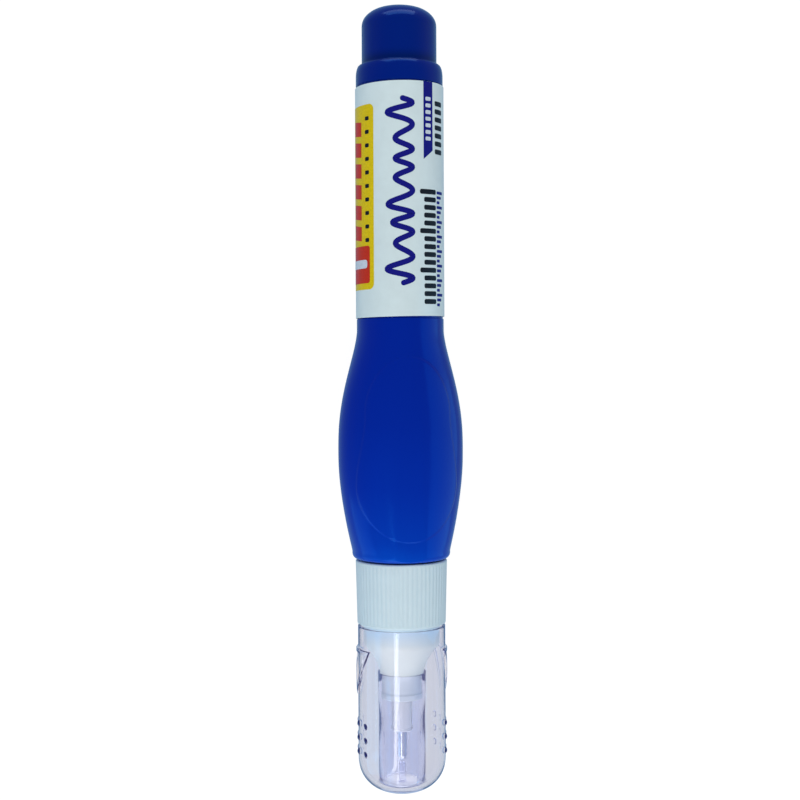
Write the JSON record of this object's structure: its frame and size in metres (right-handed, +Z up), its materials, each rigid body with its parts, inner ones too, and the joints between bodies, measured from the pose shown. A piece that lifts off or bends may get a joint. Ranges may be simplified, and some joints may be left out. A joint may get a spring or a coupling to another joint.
{
  "type": "correction fluid pen",
  "caption": "Squeeze correction fluid pen: round barrel with tail knob, oval press bulb, ribbed nozzle collar, sprung needle tip and clear domed pull-off cap.",
  "frame": {"origin": "on the surface the pen lies on, under the middle of its length: bottom centre of the bounding box", "axes": "+Y along the pen from the cap to the tail knob, +Z up out of the front press pad, +X across the wide side of the bulb"},
  "size_m": [0.0224, 0.139, 0.0166],
  "materials": {
    "bottle": "glossy blue polyethylene, faint flow marks",
    "label": "satin printed film",
    "nozzle": "satin white polypropylene",
    "seal": "soft matte",
    "holder": "frosted translucent",
    "steel": "bright drawn steel",
    "acetal": "satin",
    "cap": "clear polished, faint lilac tint"
  },
  "bodies": {
    "pen": {"bottle": "bottle", "label_sleeve": "label", "nozzle": "nozzle", "neck_seal": "seal", "tip_holder": "holder", "metal_tip": "steel", "spring_retainer": "acetal", "valve_spring": "steel"},
    "needle": {"valve_needle": "steel", "needle_plunger": "acetal"},
    "ball": {"mixing_ball": "steel"},
    "cap": {"cap": "cap"}
  },
  "joints": [
    {"name": "cap_pull", "type": "slide", "parent": "pen", "child": "cap", "axis": [0, -1, 0], "range_m": [0, 0.04]},
    {"name": "needle_lift", "type": "slide", "parent": "pen", "child": "needle", "axis": [0, 1, 0], "range_m": [0, 0.0004], "stiffness_N_per_m": 300, "springref_m": -0.0015, "deforming": ["valve_spring"]},
    {"name": "ball_roll", "type": "slide", "parent": "pen", "child": "ball", "axis": [0, 1, 0], "range_m": [-0.007, 0.069]}
  ]
}
